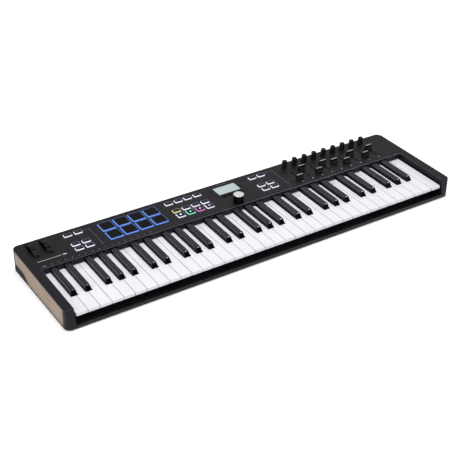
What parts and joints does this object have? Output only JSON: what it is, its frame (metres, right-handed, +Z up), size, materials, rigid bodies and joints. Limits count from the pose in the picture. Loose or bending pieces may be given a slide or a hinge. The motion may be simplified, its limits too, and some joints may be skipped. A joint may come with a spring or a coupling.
{
  "type": "keyboard controller",
  "caption": "Keyboard controller with velocity pads, channel faders and knobs, thumb wheels, a display with a push encoder and wooden end panels.",
  "frame": {"origin": "on the surface the feet stand on, under the middle of the case, left to right and front to back", "axes": "+X to the player's right along the keys, +Y away from the player, +Z up"},
  "size_m": [0.89, 0.2387, 0.0646],
  "materials": {
    "case_plastic": "fine moulded texture, charcoal",
    "base_plastic": "fine moulded texture, near black",
    "wood": "pale tan veneer, straight grain along the case",
    "steel_sheet": "zinc-grey pressed sheet",
    "steel_rod": "ground steel",
    "spring_brass": "rolled strip",
    "contact_rubber": "silicone domes",
    "board": "green solder mask",
    "felt": "dark red felt",
    "plated_metal": "tin-plated housings",
    "display": "pale backlit panel",
    "window": "clear window",
    "inner_plastic": "unpainted moulding",
    "socket_plastic": "black sockets",
    "foot_rubber": "soft rubber",
    "screw_steel": "black zinc",
    "cable": "flat ribbon",
    "wheel_rubber": "satin, fine ribs",
    "knob_plastic": "ribbed black",
    "knob_cap": "spun silver",
    "white_key": "gloss white",
    "black_key": "satin black",
    "fader_plastic": "satin black with a light line",
    "knob_rubber": "soft-touch black",
    "pad_rubber": "silicone, lit from below at the edges",
    "button_plastic": "black"
  },
  "bodies": {
    "case": {"top_case": "case_plastic", "bottom_case": "base_plastic", "left_wood_panel": "wood", "right_wood_panel": "wood", "key_frame": "steel_sheet", "key_pivot_rod": "steel_rod", "key_springs": "spring_brass", "key_contact_strips": "contact_rubber", "key_contact_board": "board", "key_felts": "felt", "control_board": "board", "main_board": "board", "panel_control_bodies": "plated_metal", "display_module": "display", "display_window": "window", "wheel_cradle": "inner_plastic", "rear_sockets": "socket_plastic", "rubber_feet": "foot_rubber", "screws": "screw_steel", "ribbon_cables": "cable"},
    "c_keys": {"c_keys": "white_key"},
    "c_sharp_keys": {"c_sharp_keys": "black_key"},
    "d_keys": {"d_keys": "white_key"},
    "d_sharp_keys": {"d_sharp_keys": "black_key"},
    "e_keys": {"e_keys": "white_key"},
    "f_keys": {"f_keys": "white_key"},
    "f_sharp_keys": {"f_sharp_keys": "black_key"},
    "g_keys": {"g_keys": "white_key"},
    "g_sharp_keys": {"g_sharp_keys": "black_key"},
    "a_keys": {"a_keys": "white_key"},
    "a_sharp_keys": {"a_sharp_keys": "black_key"},
    "b_keys": {"b_keys": "white_key"},
    "pitch_wheel": {"pitch_wheel": "wheel_rubber"},
    "mod_wheel": {"mod_wheel": "wheel_rubber"},
    "fader_1": {"fader_1": "fader_plastic"},
    "fader_2": {"fader_2": "fader_plastic"},
    "fader_3": {"fader_3": "fader_plastic"},
    "fader_4": {"fader_4": "fader_plastic"},
    "fader_5": {"fader_5": "fader_plastic"},
    "fader_6": {"fader_6": "fader_plastic"},
    "fader_7": {"fader_7": "fader_plastic"},
    "fader_8": {"fader_8": "fader_plastic"},
    "fader_9": {"fader_9": "fader_plastic"},
    "knob_1": {"knob_1": "knob_rubber"},
    "knob_2": {"knob_2": "knob_rubber"},
    "knob_3": {"knob_3": "knob_rubber"},
    "knob_4": {"knob_4": "knob_rubber"},
    "knob_5": {"knob_5": "knob_rubber"},
    "knob_6": {"knob_6": "knob_rubber"},
    "knob_7": {"knob_7": "knob_rubber"},
    "knob_8": {"knob_8": "knob_rubber"},
    "knob_9": {"knob_9": "knob_rubber"},
    "drum_pads": {"drum_pads": "pad_rubber"},
    "left_buttons": {"left_buttons": "pad_rubber"},
    "transport_buttons": {"transport_buttons": "pad_rubber"},
    "right_buttons": {"right_buttons": "pad_rubber"},
    "display_buttons": {"display_buttons": "button_plastic"},
    "encoder_spindle": {"main_encoder_spindle": "steel_rod"},
    "encoder_knob": {"main_encoder_knob": "knob_plastic", "main_encoder_cap": "knob_cap"}
  },
  "joints": [
    {"name": "c_keys_dip", "type": "hinge", "parent": "case", "child": "c_keys", "pos_m": [0, 0.04398, 0.02651], "axis": [1, 0, 0], "range_deg": [0, 3.6], "stiffness_Nm_per_rad": 1.2, "springref_deg": -28.65},
    {"name": "c_sharp_keys_dip", "type": "hinge", "parent": "case", "child": "c_sharp_keys", "pos_m": [0, 0.04398, 0.02651], "axis": [1, 0, 0], "range_deg": [0, 3.6], "stiffness_Nm_per_rad": 1.2, "springref_deg": -28.65},
    {"name": "d_keys_dip", "type": "hinge", "parent": "case", "child": "d_keys", "pos_m": [0, 0.04398, 0.02651], "axis": [1, 0, 0], "range_deg": [0, 3.6], "stiffness_Nm_per_rad": 1.2, "springref_deg": -28.65},
    {"name": "d_sharp_keys_dip", "type": "hinge", "parent": "case", "child": "d_sharp_keys", "pos_m": [0, 0.04398, 0.02651], "axis": [1, 0, 0], "range_deg": [0, 3.6], "stiffness_Nm_per_rad": 1.2, "springref_deg": -28.65},
    {"name": "e_keys_dip", "type": "hinge", "parent": "case", "child": "e_keys", "pos_m": [0, 0.04398, 0.02651], "axis": [1, 0, 0], "range_deg": [0, 3.6], "stiffness_Nm_per_rad": 1.2, "springref_deg": -28.65},
    {"name": "f_keys_dip", "type": "hinge", "parent": "case", "child": "f_keys", "pos_m": [0, 0.04398, 0.02651], "axis": [1, 0, 0], "range_deg": [0, 3.6], "stiffness_Nm_per_rad": 1.2, "springref_deg": -28.65},
    {"name": "f_sharp_keys_dip", "type": "hinge", "parent": "case", "child": "f_sharp_keys", "pos_m": [0, 0.04398, 0.02651], "axis": [1, 0, 0], "range_deg": [0, 3.6], "stiffness_Nm_per_rad": 1.2, "springref_deg": -28.65},
    {"name": "g_keys_dip", "type": "hinge", "parent": "case", "child": "g_keys", "pos_m": [0, 0.04398, 0.02651], "axis": [1, 0, 0], "range_deg": [0, 3.6], "stiffness_Nm_per_rad": 1.2, "springref_deg": -28.65},
    {"name": "g_sharp_keys_dip", "type": "hinge", "parent": "case", "child": "g_sharp_keys", "pos_m": [0, 0.04398, 0.02651], "axis": [1, 0, 0], "range_deg": [0, 3.6], "stiffness_Nm_per_rad": 1.2, "springref_deg": -28.65},
    {"name": "a_keys_dip", "type": "hinge", "parent": "case", "child": "a_keys", "pos_m": [0, 0.04398, 0.02651], "axis": [1, 0, 0], "range_deg": [0, 3.6], "stiffness_Nm_per_rad": 1.2, "springref_deg": -28.65},
    {"name": "a_sharp_keys_dip", "type": "hinge", "parent": "case", "child": "a_sharp_keys", "pos_m": [0, 0.04398, 0.02651], "axis": [1, 0, 0], "range_deg": [0, 3.6], "stiffness_Nm_per_rad": 1.2, "springref_deg": -28.65},
    {"name": "b_keys_dip", "type": "hinge", "parent": "case", "child": "b_keys", "pos_m": [0, 0.04398, 0.02651], "axis": [1, 0, 0], "range_deg": [0, 3.6], "stiffness_Nm_per_rad": 1.2, "springref_deg": -28.65},
    {"name": "pitch_bend", "type": "hinge", "parent": "case", "child": "pitch_wheel", "pos_m": [-0.41565, 0.08595, 0.02846], "axis": [1, 0, 0], "range_deg": [-30, 30], "stiffness_Nm_per_rad": 0.1},
    {"name": "mod_turn", "type": "hinge", "parent": "case", "child": "mod_wheel", "pos_m": [-0.38795, 0.08595, 0.02846], "axis": [1, 0, 0], "range_deg": [-48, 4]},
    {"name": "encoder_push", "type": "slide", "parent": "case", "child": "encoder_spindle", "axis": [0, 0.0227, -0.9997], "range_m": [0, 0.0007], "stiffness_N_per_m": 800, "springref_m": -0.001},
    {"name": "encoder_turn", "type": "hinge", "parent": "encoder_spindle", "child": "encoder_knob", "pos_m": [0.012, 0.03535, 0.05432], "axis": [0, -0.0227, 0.9997], "continuous": true},
    {"name": "fader_1_slide", "type": "slide", "parent": "case", "child": "fader_1", "axis": [0, 0.9997, 0.0227], "range_m": [0, 0.03]},
    {"name": "fader_2_slide", "type": "slide", "parent": "case", "child": "fader_2", "axis": [0, 0.9997, 0.0227], "range_m": [-0.03, 0]},
    {"name": "fader_3_slide", "type": "slide", "parent": "case", "child": "fader_3", "axis": [0, 0.9997, 0.0227], "range_m": [-0.0018, 0.0282]},
    {"name": "fader_4_slide", "type": "slide", "parent": "case", "child": "fader_4", "axis": [0, 0.9997, 0.0227], "range_m": [-0.0241, 0.0059]},
    {"name": "fader_5_slide", "type": "slide", "parent": "case", "child": "fader_5", "axis": [0, 0.9997, 0.0227], "range_m": [-0.017, 0.013]},
    {"name": "fader_6_slide", "type": "slide", "parent": "case", "child": "fader_6", "axis": [0, 0.9997, 0.0227], "range_m": [-0.0056, 0.0244]},
    {"name": "fader_7_slide", "type": "slide", "parent": "case", "child": "fader_7", "axis": [0, 0.9997, 0.0227], "range_m": [-0.0272, 0.0028]},
    {"name": "fader_8_slide", "type": "slide", "parent": "case", "child": "fader_8", "axis": [0, 0.9997, 0.0227], "range_m": [-0.0065, 0.0235]},
    {"name": "fader_9_slide", "type": "slide", "parent": "case", "child": "fader_9", "axis": [0, 0.9997, 0.0227], "range_m": [-0.0276, 0.0024]},
    {"name": "knob_1_turn", "type": "hinge", "parent": "case", "child": "knob_1", "pos_m": [0.1712, 0.10033, 0.05579], "axis": [0, -0.0227, 0.9997], "continuous": true},
    {"name": "knob_2_turn", "type": "hinge", "parent": "case", "child": "knob_2", "pos_m": [0.19705, 0.10033, 0.05579], "axis": [0, -0.0227, 0.9997], "continuous": true},
    {"name": "knob_3_turn", "type": "hinge", "parent": "case", "child": "knob_3", "pos_m": [0.2229, 0.10033, 0.05579], "axis": [0, -0.0227, 0.9997], "continuous": true},
    {"name": "knob_4_turn", "type": "hinge", "parent": "case", "child": "knob_4", "pos_m": [0.24875, 0.10033, 0.05579], "axis": [0, -0.0227, 0.9997], "continuous": true},
    {"name": "knob_5_turn", "type": "hinge", "parent": "case", "child": "knob_5", "pos_m": [0.2746, 0.10033, 0.05579], "axis": [0, -0.0227, 0.9997], "continuous": true},
    {"name": "knob_6_turn", "type": "hinge", "parent": "case", "child": "knob_6", "pos_m": [0.30045, 0.10033, 0.05579], "axis": [0, -0.0227, 0.9997], "continuous": true},
    {"name": "knob_7_turn", "type": "hinge", "parent": "case", "child": "knob_7", "pos_m": [0.3263, 0.10033, 0.05579], "axis": [0, -0.0227, 0.9997], "continuous": true},
    {"name": "knob_8_turn", "type": "hinge", "parent": "case", "child": "knob_8", "pos_m": [0.35215, 0.10033, 0.05579], "axis": [0, -0.0227, 0.9997], "continuous": true},
    {"name": "knob_9_turn", "type": "hinge", "parent": "case", "child": "knob_9", "pos_m": [0.378, 0.10033, 0.05579], "axis": [0, -0.0227, 0.9997], "continuous": true},
    {"name": "drum_pads_press", "type": "slide", "parent": "case", "child": "drum_pads", "axis": [0, 0.0227, -0.9997], "range_m": [0, 0.0008], "stiffness_N_per_m": 3000, "springref_m": -0.001},
    {"name": "left_buttons_press", "type": "slide", "parent": "case", "child": "left_buttons", "axis": [0, 0.0227, -0.9997], "range_m": [0, 0.0008], "stiffness_N_per_m": 1500, "springref_m": -0.001},
    {"name": "transport_buttons_press", "type": "slide", "parent": "case", "child": "transport_buttons", "axis": [0, 0.0227, -0.9997], "range_m": [0, 0.0008], "stiffness_N_per_m": 2500, "springref_m": -0.001},
    {"name": "right_buttons_press", "type": "slide", "parent": "case", "child": "right_buttons", "axis": [0, 0.0227, -0.9997], "range_m": [0, 0.0008], "stiffness_N_per_m": 1500, "springref_m": -0.001},
    {"name": "display_buttons_press", "type": "slide", "parent": "case", "child": "display_buttons", "axis": [0, 0.0227, -0.9997], "range_m": [0, 0.0007], "stiffness_N_per_m": 800, "springref_m": -0.001}
  ]
}
